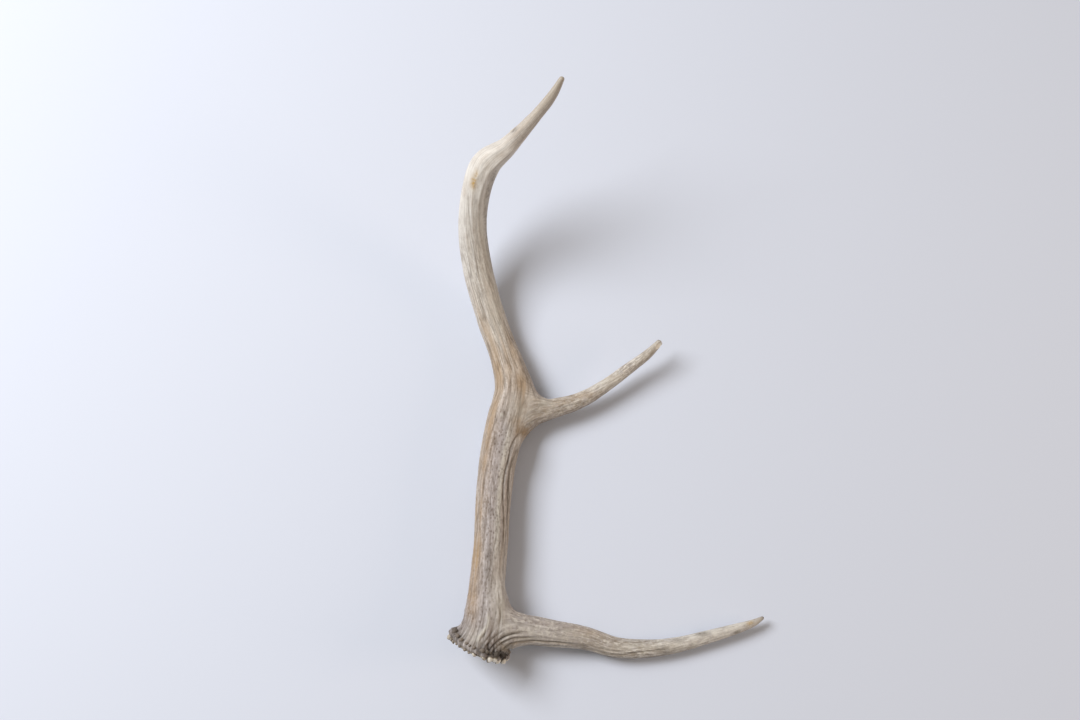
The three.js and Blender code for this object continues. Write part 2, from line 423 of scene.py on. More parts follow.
def tidy(mesh, gap):
    """Merges points closer than the gap, cuts faces of many sides into triangles, counts open edges."""
    work = bmesh.new()
    work.from_mesh(mesh)
    bmesh.ops.remove_doubles(work, verts=work.verts, dist=gap)
    bmesh.ops.dissolve_degenerate(work, edges=work.edges, dist=gap / 2)
    bmesh.ops.triangulate(work, faces=[f for f in work.faces if len(f.verts) > 4])
    open_edges = sum(not e.is_manifold for e in work.edges)
    work.to_mesh(mesh)
    work.free()
    return open_edges


fuse(antler, branches)
print("open edges", tidy(antler.data, MERGE_GAP), "points", len(antler.data.vertices))


# %% Fill the creases
def read(items, key, width, kind=int):
    """A row of numbers for each of a mesh's points, edges or triangles."""
    flat = np.empty(width * len(items), kind)
    items.foreach_get(key, flat)
    return flat.reshape(-1, width)


def read_points(mesh):
    return read(mesh.vertices, "co", 3, float)


def read_triangles(mesh):
    mesh.calc_loop_triangles()
    return read(mesh.loop_triangles, "vertices", 3)


def move_points(mesh, points):
    mesh.vertices.foreach_set("co", points.ravel())
    mesh.update()


def normals_of(points, triangles):
    a, b, c = (points[triangles[:, k]] for k in range(3))
    face = np.cross(b - a, c - a)
    total = [sum(np.bincount(triangles[:, j], face[:, k], len(points)) for j in range(3)) for k in range(3)]
    return unit(np.stack(total, -1))


def fill_creases(points, mesh, hold, rounds):
    """Relaxes the points outwards where hold is above 0, and evens out their spacing."""
    edges, triangles = read(mesh.edges, "vertices", 2), read_triangles(mesh)
    edges = edges[(hold[edges] > 0).any(axis=1)]
    triangles = triangles[(hold[triangles] > 0).any(axis=1)]
    one, two = edges.T
    degree = np.maximum(np.bincount(edges.ravel(), minlength=len(points)), 1)
    for turn in range(rounds):
        if turn % 4 == 0:
            normals = normals_of(points, triangles)
        mean = [
            np.bincount(one, points[two, k], len(points)) + np.bincount(two, points[one, k], len(points))
            for k in range(3)
        ]
        pull = np.stack(mean, -1) / degree[:, None] - points
        rise = (pull * normals).sum(1, keepdims=True)
        slide = pull - rise * normals
        points = points + 0.5 * hold[:, None] * (np.maximum(rise, 0) * normals + slide)
    return points


FILL_ROUNDS = 160
FORK_ZONES = [  # [x, y, z, reach] in mm from the burr's middle
    [26, 30, -4, 52],
    [34, 236, -10, 58],
]
points = read_points(antler.data)
hold = np.zeros(len(points))
for *spot, span in FORK_ZONES:
    hold = np.maximum(hold, fade(np.linalg.norm(points - spot, axis=1), 0.7 * span, span))
hold *= smooth(points @ BURR_AXIS, 12, 22)  # the burr keeps its edge
points = fill_creases(points, antler.data, hold, FILL_ROUNDS)
move_points(antler.data, points)
print("points near the forks:", int((hold > 0).sum()))


# %% [markdown]
# ## Where a point is on the limbs
# Furrows, pearls and stains all follow the limbs, so each point needs to know its distance along a limb
# and its angle round it. Wrapped into a vector, the pair makes a coordinate for patterns: one that runs
# evenly round the limb and is squeezed along it, so that any noise read there becomes long streaks.

# %% Locate points on limbs
def locate(limb, points):
    """Distance along the limb, angle round it, and gap to its skin, for each point."""
    coarse = limb.centres[::15]
    near = np.concatenate(
        [
            ((block[:, None].astype(np.float32) - coarse[None].astype(np.float32)) ** 2).sum(-1).argmin(1)
            for block in np.array_split(points, 40)
        ]
    )
    distance = limb.distances[::15][near]
    for _ in range(6):
        centre, forward, side, top, size = limb.at(distance)
        ahead = ((points - centre) * forward).sum(1)
        distance = np.clip(distance + 0.7 * ahead, -8, limb.length)
    offset = points - centre
    x, z = (offset * side).sum(1) / size[:, 0], (offset * top).sum(1) / size[:, 1]
    return distance, np.arctan2(z, x) % TAU, (np.hypot(x, z) - 1) * size.mean(1)


STREAK = 0.09  # how far patterns are squeezed along a limb: streaks come out 1 / 0.09 times as long as wide


def grain_of(distance, angle, radius, shift):
    return np.stack([radius * np.cos(angle) + shift, radius * np.sin(angle), distance * STREAK], -1)


def facing(angle, at, width):
    """1 where the angle round a limb is at the given one, fading over the width on both sides."""
    return np.exp(-((((angle - at + math.pi) % TAU - math.pi) / width) ** 2))


beam_s, beam_a, beam_gap = locate(beam, points)
brow_s, brow_a, brow_gap = locate(brow, points)
mid_s, mid_a, mid_gap = locate(middle, points)
tine_gap = np.minimum(brow_gap, mid_gap)
on_tine = smooth(beam_gap - tine_gap, -7, 9)
on_brow = on_tine * (brow_gap < mid_gap)
on_middle = on_tine * (brow_gap >= mid_gap)
beam_grain = grain_of(beam_s, beam_a, 16.5, 0)
tine_grain = np.where(
    (brow_gap < mid_gap)[:, None], grain_of(brow_s, brow_a, 11, 200), grain_of(mid_s, mid_a, 8.5, 400)
)
print("share of points on tines:", round(float(on_tine.mean()), 2))

# %% [markdown]
# ## Furrows, flutes and scars
# The deep furrows are particular: a bundle sweeps from the burr into the brow tine, a pair climbs the
# trunk to the upper fork. Each is a line of a few points in the plane of the antler, dropped on to the
# skin from above. Short flutes run up from between the beads of the burr all round. The breaks and chips
# are balls that push the skin in.

# %% Furrow lines: ([x, y] points, depth, half width), in mm from the burr's middle
FURROWS = [
    (
        [[7.9, -8.4], [9, -5.4], [11.2, -2.7], [15.8, 2.4],
         [21.8, 6.7], [29.3, 9.5], [38.9, 11.3], [56, 12.2]], 2.0, 1.0
    ),
    ([[11.5, -9.8], [14.6, -3.9], [19.8, 1.4], [26.6, 4.7], [35.5, 6.3], [46.3, 7.3], [66, 7]], 1.6, 0.85),
    (
        [[17.5, -9.6], [20.5, -4.4], [26.5, 0.4], [33.4, 2.6],
         [46.3, 4], [64.8, 3.6], [84, 1.6], [110, -3]], 1.5, 0.9
    ),
    ([[4.3, -7.4], [5.6, -3], [8.5, 0.8], [13.1, 6.3], [18.7, 10.9], [25, 15]], 1.5, 0.8),
    ([[1, -6], [3, -1.4], [5.4, 2.4], [9, 7.5], [13.3, 13.3], [17, 19]], 1.3, 0.8),
    ([[-3.4, -5], [-1.6, -1.1], [0.3, 2.4], [2.3, 5.9], [4.9, 9.3], [6, 15]], 1.1, 0.8),
    ([[-17, -3], [-15.2, 1.6], [-12.7, 7.4], [-8.9, 15.6], [-6, 28]], 0.8, 0.9),
    ([[31.9, -1.8], [39.5, 0.7], [58.6, 1], [85.3, -1.3], [105, -5]], 0.9, 0.8),
    ([[104, -3], [118, -6], [130, -7.6], [148.6, -5], [164, -3.6], [180, -2]], 0.8, 0.8),
    ([[108, -1], [126, -4.6], [148.6, -1.6], [158, -0.6]], 0.7, 0.8),
    (
        [[21, 84], [21.4, 117], [20.8, 148], [22.4, 161],
         [25.3, 174], [29, 190], [35.3, 200.4], [47, 209.8]], 1.1, 1.0
    ),
    ([[24.6, 94], [25.1, 118], [25, 140], [25.8, 157], [28.2, 170], [30.7, 181], [35, 193]], 1.2, 0.9),
    ([[-13, 424], [-12.3, 404], [-9.2, 383], [-5.2, 361], [0.7, 337], [5, 320]], 0.5, 0.8),
    ([[3, 427], [-1.4, 416], [-2.8, 401], [-0.7, 384], [4.6, 362], [12.3, 338]], 0.5, 0.8),
    ([[112, 253], [125.4, 258.4], [138.1, 265.3], [150, 273.5]], 0.6, 0.6),
    ([[60, 229], [79.7, 233.6], [94.3, 239.4], [113.7, 247.6], [133.2, 257.6], [148, 267.6]], 0.6, 0.6),
]
FOLDS = [  # ridges and swellings, or hollows where the height is below 0: (points, height, half width)
    (
        [[33, 452.6], [24.5, 446.7], [14.5, 439.4], [7.3, 433.5],
         [3.3, 428], [-0.3, 420], [-2, 412], [-2, 398]], 1.5, 2.4
    ),
    (
        [[28, 446], [21, 440], [15, 435], [9, 429.5],
         [5.4, 423.5], [2.4, 416], [1.6, 405], [1.8, 390]], -1.2, 2.2
    ),
    ([[-8.5, 381], [-5.3, 355], [0.7, 335], [3.6, 323], [9.1, 304], [13.6, 289], [19, 272]], 0.5, 1.3),
    ([[-2, 388], [1.5, 365], [7, 342], [12, 325], [17, 308]], 0.5, 1.4),
    ([[-15.8, 412], [-16, 393], [-14.2, 368], [-10.1, 343], [-3, 318]], 0.4, 1.1),
    ([[-9.6, 411], [-9.7, 392], [-8.6, 375], [-5, 352]], 0.4, 1.1),
    ([[8.4, 440.7], [-0.2, 434.3], [-6.2, 427.6], [-9.4, 417.7], [-10.7, 406], [-12, 392]], 0.4, 1.0),
    ([[11.8, 217], [9.4, 200], [4.5, 174], [0.6, 140], [-0.4, 107], [-2.4, 78]], 0.5, 2.2),
    ([[23, 84], [23.4, 117], [23, 148], [24.8, 163], [27.5, 178], [31.5, 190], [38, 200]], 0.5, 1.2),
    ([[29, 172], [33, 188], [39, 199], [47, 206.5], [60, 213], [74, 220]], 2.2, 5.0),
    ([[21.3, 218], [19.5, 219.9], [17.7, 218], [19.5, 216.1], [21.3, 218]], 0.4, 0.6),
    ([[33, 8.5], [44, 9.6], [60, 8.5], [84, 5], [108, 0]], 0.4, 1.2),
    ([[106, -2], [122, -5.3], [138, -4.6], [158, -2]], 0.4, 0.9),
    ([[22, 8], [18, 22], [17, 36], [18, 52], [20, 72]], 2.4, 6.0),
    ([[160, 4.5], [166, 7], [171, 3], [166, -1], [160, 4.5]], 0.4, 0.9),
]
RUBBED_RIDGE = [[-3, 1], [-0.2, 6.5], [4.2, 12.1], [7.8, 18.5], [7.7, 25.8], [6, 36]], 1.0, 2.0
# knobs that stand out and balls that are pressed in: [x, y, z, radius]
KNOTS = [[19.5, 219, 6.5, 2.6], [146, -1, -10, 2.4], [173, 292.2, 2.8, 2.2]]
SCARS = [[29.8, 468.6, 109, 3.2], [172.6, 286.4, 5.4, 5], [-7, -7, -1, 3.2], [5, -8, -7, 2.8]]
LINE_STEPS, FADE_IN, FADE_OUT = 160, 18, 45  # a line's points, and how many of them fade at each end

surface = BVHTree.FromPolygons([Vector(p) for p in points], read_triangles(antler.data).tolist())


def drop(x, y):
    """The highest point of the skin above a place in the plane of the antler."""
    hit = surface.ray_cast(Vector((x, y, 400)), Vector((0, 0, -1)))[0]
    return None if hit is None else np.array(hit)


def line_height(points, line, height, width):
    """How far one furrow or fold stands off at each point: full height on the line, less at its ends."""
    path = spline(np.array(line, float), np.linspace(0, 1, LINE_STEPS))
    path = np.array([p for p in (drop(x, y) for x, y in path) if p is not None])
    low, high = path.min(0) - 4 * width, path.max(0) + 4 * width
    inside = np.flatnonzero(((points > low) & (points < high)).all(1))
    gaps = np.linalg.norm(points[inside, None] - path[None], axis=2)
    nearest = gaps.argmin(1)
    last = len(path) - 1
    ends = smooth(nearest, -6, FADE_IN) * fade(nearest, last + 1 - FADE_OUT, last)
    off = np.zeros(len(points))
    off[inside] = height * ends * np.exp(-((gaps.min(1) / width) ** 2))
    return off


furrow, fold = np.zeros(len(points)), np.zeros(len(points))
for line, depth, width in FURROWS:
    furrow = np.maximum(furrow, line_height(points, line, depth, width))
for line, height, width in [*FOLDS, RUBBED_RIDGE]:
    fold += line_height(points, line, height, width)
print("deepest furrow", round(float(furrow.max()), 2), "mm")

# %% Flutes above the burr
FLUTES, FLUTE_WIDTH, FLUTE_SEED = 27, 0.05, 5  # the width is an angle
draw = np.random.default_rng(FLUTE_SEED)
for k in range(FLUTES):
    at = TAU * (k + draw.uniform(-0.3, 0.3)) / FLUTES
    end, depth, drift = draw.uniform(22, 58), draw.uniform(0.5, 1.2), draw.uniform(-0.006, 0.006)
    turn = (beam_a - at - drift * beam_s + math.pi) % TAU - math.pi
    along = smooth(beam_s, 1, 6) * fade(beam_s, 0.4 * end, end) * (1 - on_tine)
    furrow = np.maximum(furrow, depth * along * np.exp(-((turn / FLUTE_WIDTH) ** 2)))

# %% Lumps of the rim
# The rim swells into lumps with crevices between them. The crevices get painted shade, darkest by the
# brow tine. A phase that runs unevenly round the burr keeps them from looking counted. Opposite the tine
# the rim stands out in a lip.
RIM_LUMPS, LUMP_HEIGHT = 27, 2.6
LIP_AT, LIP_HEIGHT = 3.0, 2.4
phase = beam_a + 0.13 * np.sin(3 * beam_a + 1) + 0.05 * np.sin(7 * beam_a)
lump = np.abs(np.cos(RIM_LUMPS * phase / 2)) ** 0.7
lump_size = 0.75 + 0.3 * np.sin(5 * beam_a + 2) + 0.2 * np.sin(11 * beam_a)
on_rim = smooth(beam_s, -4.5, 0) * fade(beam_s, 5, 13) * (1 - on_tine)
by_brow, by_lip = facing(beam_a, 0.5, 0.75), facing(beam_a, LIP_AT, 0.24)
centre, forward, _, _, _ = beam.at(beam_s)
from_axis = points - centre
outward = unit(from_axis - (from_axis * forward).sum(1, keepdims=True) * forward)
rise = LUMP_HEIGHT * lump_size * (lump - 0.75) * (1 - 0.6 * by_lip) + LIP_HEIGHT * by_lip
points = points + outward * (rise * on_rim)[:, None]
# painted shade: near-black in the crevices between the lumps, strongest by the brow tine
crevice_shade = on_rim * smooth(1 - lump, 0.35, 0.75) * (0.35 + 0.65 * by_brow)

# %% Masks for wear, stain and painted shade
# Distances along a limb are in mm from its root. Angles round it are in radians: 0 faces right, where the
# tines are, a quarter turn faces up, and half a turn faces left.
on_beam = 1 - on_tine
cast = fade(points @ BURR_AXIS, -1.5, 0.5)
near_burr = fade(beam_s, 6, 34) * on_beam
pearl_zone = np.maximum(facing(beam_a, 1.75, 0.9), facing(beam_a, 4.9, 0.9))
pearly = on_beam * fade(beam_s, 190, 290) * np.maximum(pearl_zone, fade(beam_s, 30, 110))
pearly += 0.8 * on_brow * fade(brow_s, 80, 180) * facing(brow_a, 1.8, 1.0)
pearly += 0.4 * on_middle * fade(mid_s, 30, 90)
wrinkled = 0.28 * on_beam * smooth(beam_s, 225, 290) * (1 - 0.7 * smooth(beam_s, 380, 470))
wrinkled += on_brow * smooth(brow_s, 60, 120) * (1 - 0.55 * smooth(brow_s, 160, 200)) + 0.8 * on_middle
pale_band = facing(beam_a, 1.2, 0.16) * on_beam * smooth(beam_s, 60, 110) * fade(beam_s, 190, 230)
tip_wear = 0.7 * on_beam * smooth(beam_s, beam.length - 90, beam.length - 5)
tip_wear += 0.35 * on_brow * smooth(brow_s, brow.length - 30, brow.length - 3)
tip_wear += 0.6 * on_middle * smooth(mid_s, middle.length - 45, middle.length - 8)
bleached = on_beam * smooth(beam_s, 270, 430) * (1 - 0.7 * smooth(beam_s, 495, 540))
bleached += on_brow * smooth(brow_s, 90, 180) + 0.9 * on_middle * smooth(mid_s, 30, 120)
ridged = on_beam * (1 - 0.75 * smooth(beam_s, 300, 480)) + on_brow * (1 - 0.6 * smooth(brow_s, 120, 230))
ridged += on_middle * (1 - 0.65 * smooth(mid_s, 60, 130))
left_flank = facing(beam_a, 2.36, 0.48) * on_beam * smooth(beam_s, 8, 60)
ochre = 0.68 * left_flank * fade(beam_s, 260, 380)

STAINS = [  # soft ochre patches: [x, y, half width, half height, strength]
    [44, 229, 20, 12, 0.5], [33, 211, 9, 9, 0.6], [37, 247, 9, 16, 0.65], [92, 240, 22, 5, 0.5],
    [124, 257, 18, 4, 0.3], [40, 203, 9, 6, 1], [20, 262, 14, 22, 0.4], [26, 280, 10, 20, 0.3],
    [50, 226, 34, 8, 0.35], [-4, 128, 5, 22, 0.6], [-4.5, 84, 5, 28, 0.95], [-7, 46, 5.5, 24, 0.9],
    [96, 12, 16, 5, 0.3], [70, 234, 22, 6, 0.45],
]
SOIL_AND_SHADE = [  # black soil near the burr, and painted shade in the recess by the brow tine, told in the same way
    [9, -7, 11, 4, 0.75], [16, -9.5, 8, 4, 1], [24.5, -8, 4.5, 5, 1], [13, -3, 10, 4, 0.3],
    [-24, 5, 7, 7, 0.75],
]
RESIN = [  # small spots of yellow resin
    [-7.4, 428, 2.8, 5, 1], [-5, 433, 2.2, 3, 0.7], [252.5, 22.3, 2.6, 1.8, 0.9],
]
BLOTCHES = [  # grey-brown blotches
    [182, 6.5, 7, 2.5, 0.45], [207, 12.5, 7, 3, 0.8], [240, 13.8, 3, 2, 0.9], [170, -2.8, 9, 3.5, 0.6],
    [155, 6.5, 10, 2.5, 0.45], [224, 19, 8, 2, 0.4], [42, 203, 6, 4, 0.5], [21.4, 219.6, 1.3, 2.6, 0.8],
    [8, 82, 2.6, 9, 0.6], [6, 67, 2.4, 6, 0.6], [31.2, 466.5, 3, 3, 0.9], [173, 294.4, 3.4, 3, 1],
    [268, 28.5, 5, 4, 1],
]
RUBBED = [  # places that handling has paled
    [48, 11, 28, 11, 0.6], [19, 42, 9, 34, 0.9], [24, 18, 16, 12, 0.6], [-4, 6, 14, 9, 0.5],
    [36, 224, 14, 14, 0.6], [14, 330, 8, 30, 0.9], [84, 8, 44, 9, 0.45], [124, -2, 24, 7, 0.5],
    [150, -1, 40, 5, 0.6], [4, 372, 7, 30, 0.6], [18.8, 217.7, 1.8, 1.8, 1], [185, 2, 16, 5, 0.5],
    [222, 14, 18, 5, 0.6], [120, 252.5, 26, 7, 1], [60, 231, 9, 6, 0.6], [22, -1.5, 7, 4, 0.7],
    [170.6, 288, 3.4, 2.8, 1],
]


def spots(patches):
    """The strongest of some soft oval patches at each point."""
    found = np.zeros(len(points))
    for x, y, wide, high, strength in patches:
        near = np.exp(-(((points[:, 0] - x) / wide) ** 2) - ((points[:, 1] - y) / high) ** 2)
        found = np.maximum(found, strength * near)
    return found


ochre = np.maximum(ochre, spots(STAINS))
soil_and_shade, resin, blotch_and_shade = spots(SOIL_AND_SHADE), spots(RESIN), spots(BLOTCHES)
# painted shade: brown on the lower edges of the brow and middle tines and on the right flank of the beam's
# curl, the sides turned away from the lamp; it is laid in with the grey-brown blotches
painted_shade_edge = 0.85 * on_brow * facing(brow_a, -0.1, 0.32) * smooth(brow_s, 90, 130)
painted_shade_edge += 0.7 * on_middle * facing(mid_a, -0.1, 0.32)
curl = smooth(beam_s, 340, 400) * fade(beam_s, 470, 530)
painted_shade_edge += 0.7 * on_beam * facing(beam_a, 0.2, 0.42) * curl
blotch_and_shade = np.maximum(blotch_and_shade, painted_shade_edge)
rubbed = np.maximum(smooth(line_height(points, *RUBBED_RIDGE), 0.2, 0.9), spots(RUBBED))


# %% Knots and scars
KNOT_HEIGHT = 0.75  # of a knot's radius

fresh = np.zeros(len(points))
for *spot, radius in KNOTS:
    distance = np.linalg.norm(points - spot, axis=1, keepdims=True)
    points = points + UP * (KNOT_HEIGHT * radius * np.exp(-((distance / radius) ** 2)))
for *spot, radius in SCARS:
    away = points - spot
    distance = np.linalg.norm(away, axis=1, keepdims=True)
    fresh = np.maximum(fresh, fade(distance[:, 0], 0.9 * radius, 1.15 * radius))
    points = np.where(distance < radius, spot + away * radius / np.maximum(distance, 1e-6), points)


# %% Write what the patterns need on to the points
def store(mesh, name, values):
    vector = values.ndim == 2
    layer = mesh.attributes.new(name, "FLOAT_VECTOR" if vector else "FLOAT", "POINT")
    layer.data.foreach_set("vector" if vector else "value", values.astype(np.float32).ravel())


LAYERS = dict(
    beam_grain=beam_grain,
    tine_grain=tine_grain,
    on_tine=on_tine,
    furrow=furrow,
    fold=fold,
    cast=cast,
    near_burr=near_burr,
    crevice_shade=crevice_shade,
    soil_and_shade=soil_and_shade,
    blotch_and_shade=blotch_and_shade,
    resin=resin,
    pearly=np.clip(pearly, 0, 1),
    wrinkled=np.clip(wrinkled, 0, 1),
    pale_band=pale_band,
    tip_wear=tip_wear,
    rubbed=rubbed,
    bleached=np.clip(bleached, 0, 1),
    ruggedness=np.clip(ridged, 0, 1),
    ochre=ochre,
    fresh=fresh,
)
for name, values in LAYERS.items():
    store(antler.data, name, values)
move_points(antler.data, (points + BURR_CENTRE) * MM)
print("stored", list(LAYERS))

# %% [markdown]
# ## Bone
# Weathered antler is dry bone with a dense outer wall. Handling and rubbing on trees polish the ridges to
# ivory, while tannin from bark stays in the furrows, so height and colour go together. The material mixes
# ivory and grey-brown by fine streaks along the limb. Over that go coats of colour, each where its mask
# says: lilac-grey with brown speckles near the burr, bleached bone with short wrinkles towards the tips,
# ochre on the flanks, and soot in every furrow. Some coats are painted shade: brown on the sides turned
# away from the lamp, and near-black in the rim's crevices and in the recess by the brow tine. It is matt,
# with a faint shine on the ridges.

# %% The bone material
IVORY, GREY_BROWN, TAN = "#ded7cd", "#998e83", "#bba893"
LILAC_GREY, OCHRE, BLEACHED = "#aba5a8", "#a4865e", "#e3dfd7"
# the furrow brown and the soot black also paint shade: the brown on the tines' lower edges and the curl's
# right flank, the black in the rim's crevices and in the recess by the brow tine
FURROW_AND_SHADE_BROWN, SOOT_AND_SHADE, FRESH_BREAK, CORE = "#54483c", "#2e2722", "#eee8dc", "#b3a68f"
RESIN_YELLOW, BEAD_SOIL_AND_SHADE, BEAD_GREY, BEAD_WHITE = "#bb9548", "#2f2720", "#a39888", "#efebe1"
WRINKLE_BROWN, SPECKLE_BROWN, PALE_BAND, TIP_GREY = "#8f8378", "#6d6059", "#d8d4c8", "#a29683"
HAIR_WIDTH, WRINKLE_WIDTH, SPECKLE_GAP, BAND_WIDTH = 0.8, 1.7, 2.4, 5.0  # mm
MOTTLE_SIZE, PATCH_SIZE, FLECK_SIZE, PORE_SIZE, BEAD_MOTTLE_SIZE = 14.0, 4.2, 2.4, 0.9, 4.0
BONE_IOR = 1.54

bone = new_material("weathered_antler_bone")
tree = bone.node_tree


def layer(name, kind="Fac"):
    return add_node(tree, "ShaderNodeAttribute", attribute_name=name).outputs[kind]


def in_space(size, detail):
    """A noise that ignores the limbs. Its patches are about the given size in mm."""
    sockets = {"Vector": place, "Scale": 1 / (size * MM), "Detail": detail}
    return add_node(tree, "ShaderNodeTexNoise", sockets).outputs["Fac"]


def along_grain(width, ratio, kind="ShaderNodeTexNoise", out="Fac"):
    """A texture of the given width, stretched ratio times along the limbs, blended from beam to tines."""
    squeeze = (1 / width, 1 / width, 1 / (width * ratio * STREAK))
    reads = []
    for name in ("beam_grain", "tine_grain"):
        sockets = {0: layer(name, "Vector"), 1: squeeze}
        grain = add_node(tree, "ShaderNodeVectorMath", sockets, operation="MULTIPLY")
        reads.append(add_node(tree, kind, {"Vector": grain, "Scale": 1.0}).outputs[out])
    sockets = {0: layer("on_tine"), 2: reads[0], 3: reads[1]}
    return add_node(tree, "ShaderNodeMix", sockets, data_type="FLOAT")


def blend(factor, under, over):
    """Lays one colour over another."""
    return add_node(tree, "ShaderNodeMix", {0: factor, 6: under, 7: over}, data_type="RGBA").outputs[2]


def ramp(value, low, high, bottom=0.0, top=1.0):
    """Spreads the part of a value between low and high over bottom to top."""
    sockets = {"Value": value, "From Min": low, "From Max": high, "To Min": bottom, "To Max": top}
    return add_node(tree, "ShaderNodeMapRange", sockets, interpolation_type="SMOOTHSTEP").outputs[0]


def sum_of(one, two):
    return add_node(tree, "ShaderNodeMath", {0: one, 1: two}, operation="ADD").outputs[0]


def times(one, two):
    return add_node(tree, "ShaderNodeMath", {0: one, 1: two}, operation="MULTIPLY").outputs[0]


place = add_node(tree, "ShaderNodeTexCoord").outputs["Object"]
mottle, flecks = in_space(MOTTLE_SIZE, 4.0), in_space(FLECK_SIZE, 3.0)
patches, pores = in_space(PATCH_SIZE, 3.0), in_space(PORE_SIZE, 2.0)
hairs, bands = along_grain(HAIR_WIDTH, 26), along_grain(BAND_WIDTH, 16)
wrinkles = along_grain(WRINKLE_WIDTH, 4)
cells = along_grain(SPECKLE_GAP, 1.5, "ShaderNodeTexVoronoi", "Distance")
speckles = ramp(cells, 0.16, 0.46, 1.0, 0.0)

dotted = times(layer("pearly"), ramp(mottle, 0.35, 0.6, 0.45, 0.8))
ochre_share = times(ramp(bands, 0.35, 0.6, 0.6, 1.0), ramp(mottle, 0.36, 0.54, 0.72, 1.0))
COATS = [  # how much of a colour lies where, from the bone outwards
    (ramp(bands, 0.42, 0.62, 0, 0.6), colour(TAN)),
    (times(layer("pearly"), 0.75), colour(LILAC_GREY)),
    (ramp(flecks, 0.42, 0.62, 0, 0.3), colour(WRINKLE_BROWN)),
    (times(layer("pale_band"), 0.6), colour(PALE_BAND)),
    (times(layer("bleached"), ramp(mottle, 0.25, 0.6, 0.45, 0.95)), colour(BLEACHED)),
    (times(layer("on_tine"), ramp(patches, 0.5, 0.6, 0, 0.5)), colour(BLEACHED)),
    (times(layer("on_tine"), ramp(patches, 0.38, 0.5, 0.35, 0)), colour(LILAC_GREY)),
    (times(layer("wrinkled"), ramp(wrinkles, 0.5, 0.57, 0, 0.75)), colour(WRINKLE_BROWN)),
    (times(layer("wrinkled"), ramp(flecks, 0.5, 0.62, 0, 0.55)), colour(TIP_GREY)),
    (times(speckles, dotted), colour(SPECKLE_BROWN)),
    (times(layer("ochre"), ochre_share), colour(OCHRE)),
    (times(layer("resin"), ramp(flecks, 0.35, 0.6, 0.5, 1.0)), colour(RESIN_YELLOW)),
    (times(layer("hollow"), 0.55), colour(FURROW_AND_SHADE_BROWN)),
    (ramp(layer("furrow"), 0.8, 2.0, 0, 0.85), colour(SOOT_AND_SHADE)),
    (times(layer("tip_wear"), ramp(bands, 0.3, 0.6, 0.5, 1.0)), colour(TIP_GREY)),
    (times(layer("near_burr"), ramp(hairs, 0.35, 0.6, 0.3, 0.0)), colour(SOOT_AND_SHADE)),
    (times(layer("rubbed"), ramp(hairs, 0.3, 0.6, 0.3, 0.65)), colour(PALE_BAND)),
    # black soil near the burr, with painted shade in the recess by the brow tine
    (times(layer("soil_and_shade"), ramp(hairs, 0.3, 0.6, 1.0, 0.5)), colour(SOOT_AND_SHADE)),
    # painted shade in the crevices of the rim
    (layer("crevice_shade"), colour(SOOT_AND_SHADE)),
    (layer("cast"), blend(layer("hollow"), colour(CORE), colour(SOOT_AND_SHADE))),
    (layer("fresh"), colour(FRESH_BREAK)),
    # grey-brown blotches, together with the painted shade on the tines' lower edges and the curl's right
    # flank
    (times(layer("blotch_and_shade"), ramp(flecks, 0.35, 0.55, 1.0, 0.55)), colour(FURROW_AND_SHADE_BROWN)),
]
tone = blend(ramp(hairs, 0.34, 0.64), colour(GREY_BROWN), colour(IVORY))
for where, coat in COATS:
    tone = blend(where, tone, coat)

gloss = ramp(layer("hollow"), 0, 1, 0.52, 0.85)
raised = sum_of(times(hairs, 0.5), times(pores, 0.2))
dots, creases = times(speckles, layer("pearly")), times(wrinkles, layer("wrinkled"))
sunk = sum_of(times(dots, -0.8), times(creases, -0.6))
sockets = {"Height": sum_of(raised, sunk), "Strength": 0.35, "Distance": 0.3 * MM}
bump = add_node(tree, "ShaderNodeBump", sockets)
sockets = {"Base Color": tone, "Roughness": gloss, "IOR": BONE_IOR, "Normal": bump}
shader = add_node(tree, "ShaderNodeBsdfPrincipled", sockets)
add_node(tree, "ShaderNodeOutputMaterial", {"Surface": shader})
print("bone material nodes", len(tree.nodes))

# %% [markdown]
# ## Ridges, pearls and pores
# The rest of the relief follows a rule, so Geometry Nodes make it. Contour lines of a streaky noise are
# long, wander, split and join, just as the vein beds do, and they become the furrows. Round cells make the
# pearls, crowded near the burr and gone by the upper fork. Coarse cells pit the cast face. The tree moves
# every point along its normal and leaves a layer named hollow for the material. The helpers for nodes
# write into whatever is named tree, and from here on that is the relief.

# %% The relief tree
def new_tree(name, inputs):
    """A Geometry Nodes tree with inputs {name: (kind, value)}, and the sockets that give them."""
    made = bpy.data.node_groups.new(name, "GeometryNodeTree")
    for title, (kind, value) in inputs.items():
        socket = made.interface.new_socket(title, in_out="INPUT", socket_type="NodeSocket" + kind)
        if value is not None:
            socket.default_value = value
    made.interface.new_socket("Geometry", in_out="OUTPUT", socket_type="NodeSocketGeometry")
    return made, made.nodes.new("NodeGroupInput").outputs


RELIEF_INPUTS = {  # name: (kind, value), sizes in mm
    "Geometry": ("Geometry", None),
    "Ridge spacing": ("Float", 4.4),
    "Ridge height": ("Float", 0.34),
    "Pearl spacing": ("Float", 3.4),
    "Pearl height": ("Float", 0.35),
    "Vein hole size": ("Float", 2.6),
    "Vein hole depth": ("Float", 0.4),
    "Pit spacing": ("Float", 3.0),
    "Pit depth": ("Float", 1.0),
    "Swell": ("Float", 0.9),
    "Seed": ("Float", 3.0),
    "Finish": ("Material", None),
}
FINE_RIDGES = 2.1  # how many of the finer ridges fit in one of the broad ones
SWELL_SIZE = 22  # mm
relief, given = new_tree("bone_relief", RELIEF_INPUTS)
tree = relief


def point_layer(name, data_type="FLOAT"):
    return add_node(tree, "GeometryNodeInputNamedAttribute", {"Name": name}, data_type=data_type)


def maths(operation, one, two=0.0, three=0.0):
    return add_node(tree, "ShaderNodeMath", {0: one, 1: two, 2: three}, operation=operation)


